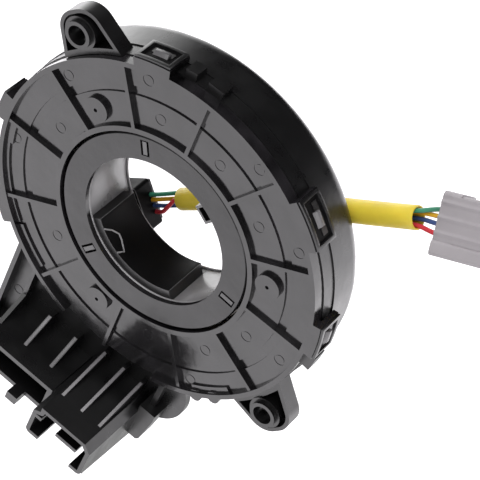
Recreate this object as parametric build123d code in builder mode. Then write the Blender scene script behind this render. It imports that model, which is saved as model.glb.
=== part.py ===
"""Steering clock spring: a stator drum with a ribbed cover and two connector shrouds, and a rotor
with the bore, the wheel-side flange and a short lead. Millimetres. The steering axis is Y, the
column side is -Y, +Z is up, and the origin lies on the axis at the rotor ring's face."""

import os
from math import cos, degrees, hypot, pi, radians, sin, tan

from build123d import *

# Clearances
RUN_GAP = 0.7
SLIDE_GAP = 0.3
SNAP_GAP = 0.15

# How far joined shapes run into each other, and how far cuts run past a face
JOIN = 0.3
SEAT = 0.2
OVERRUN = 1.0

# Drum of the housing
DRUM_R = 52.0
DRUM_WALL = 2.0
DRUM_BACK = 20.7
BACK_T = 2.2
BACK_EDGE_R = 5.0
SEAM_Y = 7.2
SEAM_DEPTH = 0.35

# Rotor ring
BORE_R = 22.2
RING_R = 29.7
RING_T = 1.5
RING_LIP = 0.35
LATCH_ANGLES = (93.7, 213.7, 333.7)
LATCH_R = (24.2, 28.2)
LATCH_WIDTH = 1.3
LATCH_GAP = 0.65

# Cover, set back from the drum's outside
COVER_R = DRUM_R - 0.7
COVER_FLOOR = 0.7
COVER_BACK = 2.7
COVER_LIP_FRONT = -0.55
COVER_LIP_T = 1.5
COVER_RIM_FRONT = -0.9
COVER_RIM_T = 1.4
COVER_FLAT = 1.4
COVER_FLAT_ARC = (232, 268)
GROOVE_R = (41.3, 44.0)
GROOVE_DEPTH = 0.45
RIB_COUNT = 12
RIB_START = 8.7
RIB_T = 1.1
RIB_SINK = 0.5
PAD_ANGLES = (117.5, 237.5, 357.5)
PAD_PITCH_R = 36.5
PAD_R = 3.7
PAD_DIMPLE_R = 0.55
STEP_ARCS = ((158, 168, 2.4), (168, 199, 1.5), (200, 216, 2.1), (284, 299, 1.8))
STEP_T = 0.6
MARK_R = 1.7
MARK_LINE = 0.3
MARK_DEPTH = 0.12
RING_MARKS = (25.1, 54.3, 85.0, 144.3, 205.0, 265.0, 296.0, 323.3)
RIM_MARKS = (15.5, 45.0, 90.4, 123.7, 165.0, 283.5, 328.0)

# Snap loops of the cover, and teeth and small blocks of the housing: angle and width
LOOP_T = 1.5
LOOP_END_Y = 7.6
LOOP_BAR = 1.9
LOOP_LEG = 2.0
LOOPS = ((25, 14), (88, 11), (155, 9), (192, 12), (346, 11))
LOOP_WINDOW_GAP = 0.9
LOOP_ROOT = 1.6
LOOP_CUT = 0.5
TOOTH_SIDE_GAP = 0.5
TOOTH_Y = (3.4, 5.4)
TOOTH_T = 1.9
SNAP_BLOCKS = ((69.5, 4.6), (77.6, 3.3), (334, 5.2))
SNAP_BLOCK_T = 2.1
SNAP_BLOCK_END_Y = 7.0
RIM_BUMPS = (285, 292)
RIM_BUMP_R = 1.9
RIM_BUMP_SET_BACK = 0.4
RIM_BUMP_SINK = 0.2
RIM_BUMP_CUT = 4.0

# Screw ears: outline points and hole lie in a frame on each ear's hole, x outward
EAR_PITCH_R = DRUM_R + 5.5
EAR_ANGLES = (111.9, 308.0)
EAR_FRONT = 1.0
EAR_T = 5.0
EAR_RECESS = 3.5
EAR_BORDER = 1.1
EAR_CORNER_R = 6.3
EAR_SHOULDER_R = DRUM_R + 6.0
EAR_BOSS_R = 3.9
EAR_BOSS_FRONT = -0.8
EAR_STEP_R = 4.8
EAR_STEP_FRONT = 0.5
EAR_HOLE_R = 2.8
EAR_OUTLINE = ((-9.0, -9.4), (5.8, -5.6), (6.8, 5.8), (-9.0, 11.4))

# Connector base, in a frame turned to BLOCK_ANGLE: u outward, w across
BLOCK_ANGLE = 247.1
BASE_ROOT = 15.0
BASE_REACH = 21.9
BASE_ROOT_U = DRUM_R - BASE_ROOT
BASE_U_END = DRUM_R + BASE_REACH
BASE_W = (-34.2, 19.6)
BASE_STEP_W = -1.7
BASE_FLOOR = 3.8
BASE_FLOOR_T = 1.6
BASE_BACK = 11.4
BASE_WALL = 1.4
PANEL_FRONT = 0.3
PANEL_MARK_AT = (DRUM_R + 9.0, -30.2)
LID_T = 1.4

# Shroud A, wide and short, and shroud B, long, with one corner cut off
MOUTH_FLOOR_T = 1.5
SHROUD_A_START = 11.5
SHROUD_A_U = (DRUM_R + SHROUD_A_START, BASE_U_END)
SHROUD_A_W = (-27.45, BASE_STEP_W)
SHROUD_A_FRONT = -13.8
SHROUD_A_WALL = 1.5
SHROUD_A_TAB_W = (-12.6, -9.0)
SHROUD_A_TAB_Y = (-17.6, -4.0)
SHROUD_A_TAB_T = 1.4
SHROUD_B_START = 6.3
SHROUD_B_REACH = 19.4
SHROUD_B_U = (DRUM_R + SHROUD_B_START, DRUM_R + SHROUD_B_REACH)
SHROUD_B_W = (-0.7, BASE_W[1])
SHROUD_B_JOG_START = 9.3
SHROUD_B_JOG_U = DRUM_R + SHROUD_B_JOG_START
SHROUD_B_JOG_W = 1.45
SHROUD_B_FRONT = -24.1
SHROUD_B_WALL = 1.3
SHROUD_B_CHAMFER = 2.5
SHROUD_B_CORNER_R = 1.6
SHROUD_B_KEY_START = 10.3
SHROUD_B_KEY_T = 1.3
SHROUD_B_KEY_U = (DRUM_R + SHROUD_B_KEY_START, DRUM_R + SHROUD_B_KEY_START + SHROUD_B_KEY_T)
SHROUD_B_KEY_W = (0.2, 2.6)
SHROUD_B_FLARE = 3.2
SHROUD_B_FLARE_Y = (-23.1, 0.0)
LATCH_SLOTS = ((3.9, 6.5, -15.0), (14.0, 15.5, -15.0), (6.4, 14.1, -19.2))
LATCH_WINDOW_W = (7.4, 12.7)
LATCH_WINDOW_Y = (-16.5, -9.0)

# Gussets: width positions, and where the crest starts and ends, as u, y
GUSSET_T = 1.2
GUSSET_A_W = (-26.9, -17.0, -7.3)
GUSSET_A_CREST = ((DRUM_R + 5.4, 1.0), (SHROUD_A_U[0] + JOIN, -8.2))
GUSSET_B_W = (2.5, 9.4, 15.9)
GUSSET_B_CREST = ((DRUM_R + 1.6, 1.0), (SHROUD_B_U[0] + JOIN, -16.7))

# Side clip and wing to the right of shroud B
WING_AT = (DRUM_R + 2.4, 17.5)
WING_R = 12.0
WING_T = 2.2
CLIP_FRONT = -2.0
CLIP_OUTLINE = (
    (DRUM_R + 6.0, BASE_W[1] - 0.3),
    (SHROUD_B_U[1], BASE_W[1] - 0.3),
    (SHROUD_B_U[1], BASE_W[1] + 3.0),
    (SHROUD_B_U[1] - 1.0, BASE_W[1] + 3.8),
    (DRUM_R + 8.5, BASE_W[1] + 5.2),
    (DRUM_R + 6.0, BASE_W[1] + 5.2),
)
CLIP_ARM_U = (BASE_ROOT_U, DRUM_R + 7.0)
CLIP_ARM_W = (BASE_W[1] + 1.2, BASE_W[1] + 2.8)
CLIP_ARM_FRONT = 0.8

# Pins of both connectors
PIN_SIDE = 0.64
PIN_LENGTH = 7.0
PIN_PITCH = 2.5
PIN_MARGIN = 3.5

# Rotor hub
HUB_STEP = 1.0
HUB_WALL = 1.9
HUB_BACK = 19.9
HUB_FOOT = 2.0
FLANGE_R = DRUM_R - 8.0
FLANGE_T = 2.4
SECTOR_R = 19.8
SECTOR_ARC = (194.5, 279.0)
SECTOR_Y = (2.2, 17.2)
LUG_ANGLE = 36.0
LUG_R = 17.1
LUG_W = 5.4
LUG_RECESS = 3.9
LUG_SET_BACK = 0.8
LUG_Y = (RING_T + LUG_SET_BACK, 7.9)
HUB_WINDOW_Y = (2.6, 9.2)
HUB_WINDOW_W = (2.1, 6.3)

# Ribbon cable and slip sheets
RIBBON_T = 0.35
RIBBON_TURNS = 5
RIBBON_PITCH = 3.0
RIBBON_LEAD_IN = 1.9
SHEET_T = 0.3

# Terminal block of the rotor, in a frame turned to LEAD_BLOCK_ANGLE
LEAD_BLOCK_ANGLE = 200.0
LEAD_BLOCK_AT = (-18.6, -12.9)
LEAD_BLOCK_L = 17.0
LEAD_BLOCK_W = 14.0
LEAD_BLOCK_T = 6.4
CAP_T = 1.7
LEAD_Y = 25.0
LEAD_BLOCK_CORNER_R = 1.0
CAP_INSET = 0.8
CAP_CHAMFER = 0.5

# Lead
WIRE_D = 1.25
SHEATH_D = 6.4
SHEATH_BORE_D = 5.4

# Plug, in a frame of its own: x along the plug, y up its broad face, z out of that face
PLUG_AT = (72.5, 25.0, 18.2)
PLUG_AXIS = (0.990, 0.0, 0.139)
PLUG_FACE = (-0.082, -0.806, 0.585)
PLUG_L = 26.0
PLUG_H = 16.6
PLUG_T = 9.0
PLUG_COLLAR_L = 4.9
PLUG_COLLAR = 0.5
PLUG_WALL = 1.1
PLUG_RAIL_W = 4.0
PLUG_MOUTH = 8.0
LOCK_T = 2.5
TERMINAL_D = 1.5
WIRE_SEATS = (3.7, 1.5, -0.5, -3.1)


def facing(y):
    """Plane square to the steering axis at depth y, seen from the column side."""
    return Plane.XZ.offset(-y)


def turned(angle, y, at=(0.0, 0.0)):
    """The same plane with its x axis turned to an angle, and its origin at a point."""
    axis = (cos(radians(angle)), 0, sin(radians(angle)))
    return Plane(origin=(at[0], y, at[1]), x_dir=axis, z_dir=(0, -1, 0))


def base_plane(y):
    """Plane of the connector base: x is u, outward, and y is w, across."""
    return turned(BLOCK_ANGLE, y)


def side_plane(w):
    """Plane across the base at w: its x is u, and its y is the steering axis."""
    outward = base_plane(0).x_dir
    at = base_plane(0).from_local_coords((0, w, 0))
    return Plane(origin=at, x_dir=outward, z_dir=outward.cross(Vector(0, 1, 0)))


def span(low, high):
    """Length and middle of a stretch."""
    return high - low, (high + low) / 2


def box_on(u, w, mode=Mode.ADD):
    """Rectangle from u[0] to u[1] and from w[0] to w[1] in the current sketch."""
    (du, mu), (dw, mw) = span(*u), span(*w)
    with Locations((mu, mw)):
        Rectangle(du, dw, mode=mode)


def base_outline(inset=0.0, mode=Mode.ADD):
    """Outline of the connector base in the current sketch, drawn in by an inset at its free sides."""
    box_on((BASE_ROOT_U, BASE_U_END - inset), (BASE_W[0] + inset, BASE_STEP_W - inset), mode)
    box_on((BASE_ROOT_U, SHROUD_B_U[1] - inset), (BASE_STEP_W - inset - OVERRUN, BASE_W[1] - inset), mode)


def shroud_b_outline():
    """Outline of shroud B in the current sketch, with its cut corner and its jog."""
    (u0, u1), (w0, w1) = SHROUD_B_U, SHROUD_B_W
    with BuildLine() as outline:
        l1 = Polyline(
            (SHROUD_B_JOG_U - 1.0, SHROUD_B_JOG_W),
            (u0, SHROUD_B_JOG_W),
            (u0, w1 - SHROUD_B_CHAMFER),
            (u0 + SHROUD_B_CHAMFER, w1),
            (u1 - SHROUD_B_CORNER_R, w1),
        )
        l2 = RadiusArc(l1 @ 1, (u1, w1 - SHROUD_B_CORNER_R), SHROUD_B_CORNER_R)
        l3 = Line(l2 @ 1, (u1, w0 + SHROUD_B_CORNER_R))
        l4 = RadiusArc(l3 @ 1, (u1 - SHROUD_B_CORNER_R, w0), SHROUD_B_CORNER_R)
        Polyline(l4 @ 1, (SHROUD_B_JOG_U, w0), l1 @ 0)
    make_face(outline.edges())


def ring_sector(r_in, r_out, start, end, mode=Mode.ADD):
    """Sector of a ring between two angles in the current sketch."""
    middle = radians((start + end) / 2)
    a0, a1 = radians(start), radians(end)
    with BuildLine() as outline:
        l1 = Line((r_in * cos(a0), r_in * sin(a0)), (r_out * cos(a0), r_out * sin(a0)))
        l2 = ThreePointArc(
            l1 @ 1,
            (r_out * cos(middle), r_out * sin(middle)),
            (r_out * cos(a1), r_out * sin(a1)),
        )
        l3 = Line(l2 @ 1, (r_in * cos(a1), r_in * sin(a1)))
        ThreePointArc(l3 @ 1, (r_in * cos(middle), r_in * sin(middle)), l1 @ 0)
    make_face(outline.edges(), mode=mode)


def save(part, label):
    """Label a finished piece and write it."""
    part.part.label = label
    export_step(part.part, "parts/" + label + ".step")


os.makedirs("parts", exist_ok=True)

COVER_IN_R = RING_R + RUN_GAP
HUB_IN_R = BORE_R + HUB_STEP
HUB_OUT_R = HUB_IN_R + HUB_WALL
HUB_FOOT_R = HUB_OUT_R + HUB_FOOT
DRUM_IN_R = DRUM_R - DRUM_WALL
CAVITY_BACK = DRUM_BACK - BACK_T
FLANGE_FRONT = HUB_BACK - FLANGE_T
OUTSIDE_COVER_R = COVER_R + SNAP_GAP
MOUTH_FLOOR = BASE_FLOOR - MOUTH_FLOOR_T

# Rotor ring: a flat ring with a shallow lip, and a window over each latch
with BuildPart() as rotor_ring:
    with BuildSketch(facing(0)):
        Circle(RING_R)
        Circle(BORE_R, mode=Mode.SUBTRACT)
    extrude(amount=-RING_T)
    with BuildSketch(facing(0)):
        for angle in LATCH_ANGLES:
            length, middle = span(*LATCH_R)
            with PolarLocations(middle, 1, start_angle=angle):
                Rectangle(length + LATCH_GAP, LATCH_WIDTH + 2 * LATCH_GAP)
    extrude(amount=-RING_T, mode=Mode.SUBTRACT)
    outer = rotor_ring.edges().filter_by(GeomType.CIRCLE).filter_by(lambda e: e.radius > RING_R - 0.1)
    chamfer(outer.group_by(Axis.Y)[0], length=RING_LIP)
save(rotor_ring, "rotor_ring")

# Rotor hub: the tube, its wheel-side flange, the raised sector, the lug and the latch ends
with BuildPart() as rotor_hub:
    with BuildSketch(Plane.XY):
        with BuildLine():
            Polyline(
                (HUB_IN_R, RING_T),
                (HUB_OUT_R, RING_T),
                (HUB_OUT_R, FLANGE_FRONT - HUB_FOOT),
                (HUB_FOOT_R, FLANGE_FRONT),
                (FLANGE_R, FLANGE_FRONT),
                (FLANGE_R, HUB_BACK),
                (HUB_IN_R, HUB_BACK),
                close=True,
            )
        make_face()
    revolve(axis=Axis.Y)
    with BuildSketch(facing(SECTOR_Y[0])):
        ring_sector(SECTOR_R, HUB_IN_R + HUB_WALL / 2, *SECTOR_ARC)
    extrude(amount=-(SECTOR_Y[1] - SECTOR_Y[0]))
    with BuildSketch(turned(LUG_ANGLE, LUG_Y[0])):
        box_on((LUG_R, HUB_IN_R + HUB_WALL / 2), (-LUG_W / 2, LUG_W / 2))
    extrude(amount=-(LUG_Y[1] - LUG_Y[0]))
    with BuildSketch(turned(LUG_ANGLE, LUG_Y[0])):
        rim = (LUG_W - LUG_RECESS) / 2
        box_on((LUG_R + rim, LUG_R + rim + LUG_RECESS), (-LUG_RECESS / 2, LUG_RECESS / 2))
    extrude(amount=-(LUG_Y[1] - LUG_Y[0] - rim), mode=Mode.SUBTRACT)
    for angle in LATCH_ANGLES:
        with BuildSketch(turned(angle, 0)):
            box_on(LATCH_R, (-LATCH_WIDTH / 2, LATCH_WIDTH / 2))
        extrude(amount=-RING_T)
        with BuildSketch(turned(angle, RING_T)):
            box_on((HUB_OUT_R - HUB_WALL / 2, LATCH_R[1]), (-LATCH_WIDTH / 2, LATCH_WIDTH / 2))
        extrude(amount=-HUB_WALL)
        with BuildSketch(turned(angle, HUB_WINDOW_Y[0])):
            box_on((SECTOR_R - OVERRUN, HUB_OUT_R + OVERRUN), HUB_WINDOW_W)
        extrude(amount=-(HUB_WINDOW_Y[1] - HUB_WINDOW_Y[0]), mode=Mode.SUBTRACT)
save(rotor_hub, "rotor_hub")

# Cover: the ribbed column-side plate with its snap loops
with BuildPart() as cover:
    with BuildSketch(Plane.XY):
        lip_r = COVER_IN_R + COVER_LIP_T
        rim_r = COVER_R - COVER_RIM_T
        groove_y = COVER_FLOOR + GROOVE_DEPTH
        with BuildLine():
            Polyline(
                (COVER_IN_R, COVER_LIP_FRONT),
                (lip_r, COVER_LIP_FRONT),
                (lip_r, COVER_FLOOR),
                (GROOVE_R[0], COVER_FLOOR),
                (GROOVE_R[0], groove_y),
                (GROOVE_R[1], groove_y),
                (GROOVE_R[1], COVER_FLOOR),
                (rim_r, COVER_FLOOR),
                (rim_r, COVER_RIM_FRONT),
                (COVER_R, COVER_RIM_FRONT),
                (COVER_R, COVER_BACK),
                (COVER_IN_R, COVER_BACK),
                close=True,
            )
        make_face()
    revolve(axis=Axis.Y)
    with BuildSketch(facing(COVER_LIP_FRONT)):
        reach, middle = span(lip_r - JOIN, rim_r + JOIN)
        with PolarLocations(middle, RIB_COUNT, start_angle=RIB_START):
            Rectangle(reach, RIB_T)
    extrude(amount=-(COVER_BACK - COVER_LIP_FRONT - RIB_SINK))
    for angle in PAD_ANGLES:
        with BuildSketch(turned(angle, COVER_LIP_FRONT)):
            with Locations((PAD_PITCH_R, 0)):
                Circle(PAD_R)
                Circle(PAD_DIMPLE_R, mode=Mode.SUBTRACT)
        extrude(amount=-(COVER_BACK - COVER_LIP_FRONT - RIB_SINK))
    for start, end, thick in STEP_ARCS:
        with BuildSketch(facing(COVER_FLOOR - STEP_T)):
            ring_sector(rim_r - thick, rim_r + JOIN, start, end)
        extrude(amount=-2 * STEP_T)
    with BuildSketch(facing(COVER_RIM_FRONT)):
        ring_sector(COVER_R - COVER_FLAT, COVER_R + OVERRUN, *COVER_FLAT_ARC)
    extrude(amount=-(COVER_BACK - COVER_RIM_FRONT), mode=Mode.SUBTRACT)
    inner_band, outer_band = span(lip_r, GROOVE_R[0])[1], span(GROOVE_R[1], rim_r)[1]
    for radius, angles in ((inner_band, RING_MARKS), (outer_band, RIM_MARKS)):
        for angle in angles:
            with BuildSketch(turned(angle, COVER_FLOOR)):
                with Locations((radius, 0)):
                    Circle(MARK_R)
                    Circle(MARK_R - MARK_LINE, mode=Mode.SUBTRACT)
            extrude(amount=-MARK_DEPTH, mode=Mode.SUBTRACT)
    for angle, width in LOOPS:
        half = degrees(width / 2 / DRUM_R)
        leg = degrees(LOOP_LEG / DRUM_R)
        loop_in = DRUM_R + SNAP_GAP
        loop_out = loop_in + LOOP_T
        with BuildSketch(facing(COVER_RIM_FRONT)):
            ring_sector(loop_in, loop_out, angle - half, angle + half)
        extrude(amount=-(LOOP_END_Y - COVER_RIM_FRONT))
        window_front = TOOTH_Y[0] - LOOP_WINDOW_GAP
        with BuildSketch(facing(window_front)):
            cut_in, cut_out = loop_in - LOOP_CUT, loop_out + LOOP_CUT
            ring_sector(cut_in, cut_out, angle - half + leg, angle + half - leg)
        extrude(amount=-(LOOP_END_Y - LOOP_BAR - window_front), mode=Mode.SUBTRACT)
        with BuildSketch(facing(COVER_RIM_FRONT)):
            ring_sector(COVER_R - JOIN, loop_out, angle - half, angle + half)
        extrude(amount=-(TOOTH_Y[0] - LOOP_ROOT - COVER_RIM_FRONT))
    for angle in RIM_BUMPS:
        with BuildSketch(turned(angle, COVER_RIM_FRONT + RIM_BUMP_SET_BACK)):
            with Locations((COVER_R - RIM_BUMP_SINK, 0)):
                Circle(RIM_BUMP_R)
            with Locations((COVER_R - RIM_BUMP_CUT / 2 - RIM_BUMP_R, 0)):
                Rectangle(RIM_BUMP_CUT, 2 * RIM_BUMP_R + OVERRUN, mode=Mode.SUBTRACT)
        extrude(amount=-(COVER_BACK - COVER_RIM_FRONT - RIM_BUMP_SET_BACK - RIM_BUMP_SINK))
save(cover, "cover")

# Housing: the drum, its teeth, the two ears, the connector base and the two shrouds
with BuildPart() as housing:
    with BuildSketch(Plane.XY):
        with BuildLine():
            back_hole_r = FLANGE_R + RUN_GAP
            l1 = Polyline(
                (DRUM_IN_R, COVER_BACK),
                (DRUM_R - SEAM_DEPTH, COVER_BACK),
                (DRUM_R - SEAM_DEPTH, SEAM_Y),
                (DRUM_R, SEAM_Y),
                (DRUM_R, DRUM_BACK - BACK_EDGE_R),
            )
            l2 = RadiusArc(l1 @ 1, (DRUM_R - BACK_EDGE_R, DRUM_BACK), -BACK_EDGE_R)
            l3 = Polyline(
                l2 @ 1,
                (back_hole_r, DRUM_BACK),
                (back_hole_r, CAVITY_BACK),
                (DRUM_IN_R - BACK_EDGE_R + DRUM_WALL, CAVITY_BACK),
            )
            l4 = RadiusArc(
                l3 @ 1, (DRUM_IN_R, CAVITY_BACK - BACK_EDGE_R + DRUM_WALL), BACK_EDGE_R - DRUM_WALL
            )
            Line(l4 @ 1, l1 @ 0)
        make_face()
    revolve(axis=Axis.Y)
    for angle, width in LOOPS:
        tooth = degrees((width / 2 - LOOP_LEG - TOOTH_SIDE_GAP) / DRUM_R)
        with BuildSketch(facing(TOOTH_Y[0])):
            ring_sector(DRUM_R - DRUM_WALL / 2, DRUM_R + TOOTH_T, angle - tooth, angle + tooth)
        extrude(amount=-(TOOTH_Y[1] - TOOTH_Y[0]))
    for angle, width in SNAP_BLOCKS:
        half = degrees(width / 2 / DRUM_R)
        with BuildSketch(facing(COVER_BACK)):
            ring_sector(DRUM_R - DRUM_WALL / 2, DRUM_R + SNAP_BLOCK_T, angle - half, angle + half)
        extrude(amount=-(SNAP_BLOCK_END_Y - COVER_BACK))
    for angle, side in zip(EAR_ANGLES, (-1, 1)):
        outline = [(r + EAR_PITCH_R, side * t) for r, t in EAR_OUTLINE]
        with BuildSketch(turned(angle, EAR_FRONT)) as ear:
            Polygon(*outline, align=None)
            corners = ear.vertices().filter_by(lambda v: hypot(v.X, v.Z) > EAR_SHOULDER_R)
            fillet(corners, radius=EAR_CORNER_R)
            Circle(OUTSIDE_COVER_R, mode=Mode.SUBTRACT)
        extrude(amount=-EAR_T)
        with BuildSketch(turned(angle, EAR_FRONT)) as recess:
            Polygon(*outline, align=None)
            corners = recess.vertices().filter_by(lambda v: hypot(v.X, v.Z) > EAR_SHOULDER_R)
            fillet(corners, radius=EAR_CORNER_R)
            offset(amount=-EAR_BORDER)
            Circle(DRUM_R + EAR_BORDER, mode=Mode.SUBTRACT)
        extrude(amount=-EAR_RECESS, mode=Mode.SUBTRACT)
        for radius, front in ((EAR_STEP_R, EAR_STEP_FRONT), (EAR_BOSS_R, EAR_BOSS_FRONT)):
            with BuildSketch(turned(angle, front)):
                with Locations((EAR_PITCH_R, 0)):
                    Circle(radius)
            extrude(amount=-(EAR_FRONT + EAR_T - front))
        with BuildSketch(turned(angle, EAR_BOSS_FRONT)):
            with Locations((EAR_PITCH_R, 0)):
                Circle(EAR_HOLE_R)
        extrude(amount=-(EAR_FRONT + EAR_T - EAR_BOSS_FRONT), mode=Mode.SUBTRACT)
    # Base: one floor with the wing beside it, and walls behind
    with BuildSketch(base_plane(BASE_FLOOR)):
        base_outline()
        Circle(OUTSIDE_COVER_R, mode=Mode.SUBTRACT)
    extrude(amount=-BASE_FLOOR_T)
    with BuildSketch(base_plane(BASE_FLOOR)):
        base_outline()
        base_outline(BASE_WALL, mode=Mode.SUBTRACT)
        Circle(OUTSIDE_COVER_R, mode=Mode.SUBTRACT)
    extrude(amount=-(BASE_BACK - BASE_FLOOR))
    with BuildSketch(base_plane(BASE_FLOOR)):
        with Locations(WING_AT):
            Circle(WING_R)
        box_on((0, BASE_U_END), (-BASE_U_END, BASE_W[1] - BASE_WALL), mode=Mode.SUBTRACT)
        Circle(OUTSIDE_COVER_R, mode=Mode.SUBTRACT)
    extrude(amount=-WING_T)
    # Border of the panel to the left of shroud A, and the panel's mark
    with BuildSketch(base_plane(PANEL_FRONT)):
        box_on((BASE_ROOT_U, BASE_U_END), (BASE_W[0], BASE_W[0] + BASE_WALL))
        box_on((BASE_U_END - BASE_WALL, BASE_U_END), (BASE_W[0], SHROUD_A_W[0] + OVERRUN))
        Circle(OUTSIDE_COVER_R, mode=Mode.SUBTRACT)
    extrude(amount=-(BASE_FLOOR + BASE_FLOOR_T - PANEL_FRONT))
    with BuildSketch(base_plane(GUSSET_A_CREST[0][1])):
        low, high = GUSSET_A_W[0] - GUSSET_T / 2, GUSSET_A_W[0] + GUSSET_T / 2
        box_on((BASE_ROOT_U, SHROUD_A_U[0] + JOIN), (low, high))
        Circle(OUTSIDE_COVER_R, mode=Mode.SUBTRACT)
    extrude(amount=-(BASE_FLOOR + BASE_FLOOR_T - GUSSET_A_CREST[0][1]))
    with BuildSketch(base_plane(BASE_FLOOR)):
        with Locations(PANEL_MARK_AT):
            Circle(MARK_R)
            Circle(MARK_R - MARK_LINE, mode=Mode.SUBTRACT)
    extrude(amount=-MARK_DEPTH, mode=Mode.SUBTRACT)
    # Shroud A with the tab on its outer wall
    with BuildSketch(base_plane(SHROUD_A_FRONT)):
        box_on(SHROUD_A_U, SHROUD_A_W)
    extrude(amount=-(BASE_FLOOR + SEAT - SHROUD_A_FRONT))
    with BuildSketch(base_plane(SHROUD_A_TAB_Y[0])):
        box_on((SHROUD_A_U[1] - SHROUD_A_WALL, SHROUD_A_U[1] + SHROUD_A_TAB_T), SHROUD_A_TAB_W)
    extrude(amount=-(SHROUD_A_TAB_Y[1] - SHROUD_A_TAB_Y[0]))
    # Shroud B with the flares of its side walls
    with BuildSketch(base_plane(SHROUD_B_FRONT)):
        shroud_b_outline()
    extrude(amount=-(BASE_FLOOR + SEAT - SHROUD_B_FRONT))
    for w in (SHROUD_B_W[0] + SHROUD_B_WALL, SHROUD_B_W[1]):
        with BuildSketch(side_plane(w)):
            Polygon(
                (SHROUD_B_U[1] - SHROUD_B_CORNER_R, SHROUD_B_FLARE_Y[0]),
                (SHROUD_B_U[1], SHROUD_B_FLARE_Y[0]),
                (SHROUD_B_U[1] + SHROUD_B_FLARE, SHROUD_B_FLARE_Y[1]),
                (SHROUD_B_U[1] + SHROUD_B_FLARE, BASE_FLOOR + BASE_FLOOR_T),
                (SHROUD_B_U[1] - SHROUD_B_CORNER_R, BASE_FLOOR + BASE_FLOOR_T),
                align=None,
            )
        extrude(amount=-SHROUD_B_WALL)
    # Mouths of the shrouds
    with BuildSketch(base_plane(SHROUD_A_FRONT)):
        box_on(
            (SHROUD_A_U[0] + SHROUD_A_WALL, SHROUD_A_U[1] - SHROUD_A_WALL),
            (SHROUD_A_W[0] + SHROUD_A_WALL, SHROUD_A_W[1] - SHROUD_A_WALL),
        )
    extrude(amount=-(MOUTH_FLOOR - SHROUD_A_FRONT), mode=Mode.SUBTRACT)
    with BuildSketch(base_plane(SHROUD_B_FRONT)):
        shroud_b_outline()
        offset(amount=-SHROUD_B_WALL)
        box_on(SHROUD_B_KEY_U, SHROUD_B_KEY_W, mode=Mode.SUBTRACT)
    extrude(amount=-(MOUTH_FLOOR - SHROUD_B_FRONT), mode=Mode.SUBTRACT)
    # Latch of shroud B: slots beside and above a bar, and a window behind it
    outer_wall = (SHROUD_B_U[1] - SHROUD_B_WALL - SEAT, SHROUD_B_U[1] + SEAT)
    for low, high, depth in LATCH_SLOTS:
        with BuildSketch(base_plane(SHROUD_B_FRONT)):
            box_on(outer_wall, (low, high))
        extrude(amount=-(depth - SHROUD_B_FRONT), mode=Mode.SUBTRACT)
    with BuildSketch(base_plane(LATCH_WINDOW_Y[0])):
        box_on(outer_wall, LATCH_WINDOW_W)
    extrude(amount=-(LATCH_WINDOW_Y[1] - LATCH_WINDOW_Y[0]), mode=Mode.SUBTRACT)
    # Gussets from the floor up the inner wall of each shroud
    for w_values, crest in ((GUSSET_A_W, GUSSET_A_CREST), (GUSSET_B_W, GUSSET_B_CREST)):
        (foot_u, foot_y), (top_u, top_y) = crest
        for w in w_values:
            with BuildSketch(side_plane(w)):
                Polygon(
                    (foot_u, foot_y),
                    (top_u, top_y),
                    (top_u, BASE_FLOOR + SEAT),
                    (foot_u, BASE_FLOOR + SEAT),
                    align=None,
                )
            extrude(amount=GUSSET_T / 2, both=True)
    # Clip and its arm, to the right of shroud B
    with BuildSketch(base_plane(CLIP_FRONT)):
        Polygon(*CLIP_OUTLINE, align=None)
    extrude(amount=-(BASE_FLOOR + SEAT - CLIP_FRONT))
    with BuildSketch(base_plane(CLIP_ARM_FRONT)):
        box_on(CLIP_ARM_U, CLIP_ARM_W)
        Circle(OUTSIDE_COVER_R, mode=Mode.SUBTRACT)
    extrude(amount=-(BASE_FLOOR + SEAT - CLIP_ARM_FRONT))
save(housing, "housing")

# Lid that closes the base from the wheel side
with BuildPart() as base_lid:
    with BuildSketch(base_plane(BASE_BACK - LID_T)):
        base_outline(BASE_WALL + SNAP_GAP)
        Circle(DRUM_R + SNAP_GAP, mode=Mode.SUBTRACT)
    extrude(amount=-LID_T)
save(base_lid, "base_lid")

# Moulded block that joins the ribbon's outer end to the pins
with BuildPart() as stator_lead_block:
    with BuildSketch(base_plane(BASE_FLOOR + BASE_FLOOR_T)):
        box_on((DRUM_R + 1.0, SHROUD_B_U[1] - BASE_WALL - 1.0), (SHROUD_A_W[0] + 1, SHROUD_B_W[1] - 3))
    extrude(amount=-(BASE_BACK - LID_T - SLIDE_GAP - BASE_FLOOR - BASE_FLOOR_T))
save(stator_lead_block, "stator_lead_block")


def pins(u_range, w_range, label):
    """Two rows of square pins that stand on a mouth's floor."""
    row_u = span(*u_range)[1]
    length, middle = span(*w_range)
    count = int((length - 2 * PIN_MARGIN) // PIN_PITCH) + 1
    with BuildPart() as group:
        with BuildSketch(base_plane(MOUTH_FLOOR)):
            with Locations((row_u, middle)):
                with GridLocations(PIN_PITCH, PIN_PITCH, 2, count):
                    Rectangle(PIN_SIDE, PIN_SIDE)
        extrude(amount=PIN_LENGTH)
        tips = group.faces().sort_by(Axis.Y)[: 2 * count]
        chamfer(tips.edges(), length=PIN_SIDE / 4)
    save(group, label)


pins(SHROUD_A_U, SHROUD_A_W, "connector_a_pins")
pins(SHROUD_B_U, (SHROUD_B_JOG_W, SHROUD_B_W[1]), "connector_b_pins")

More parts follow.
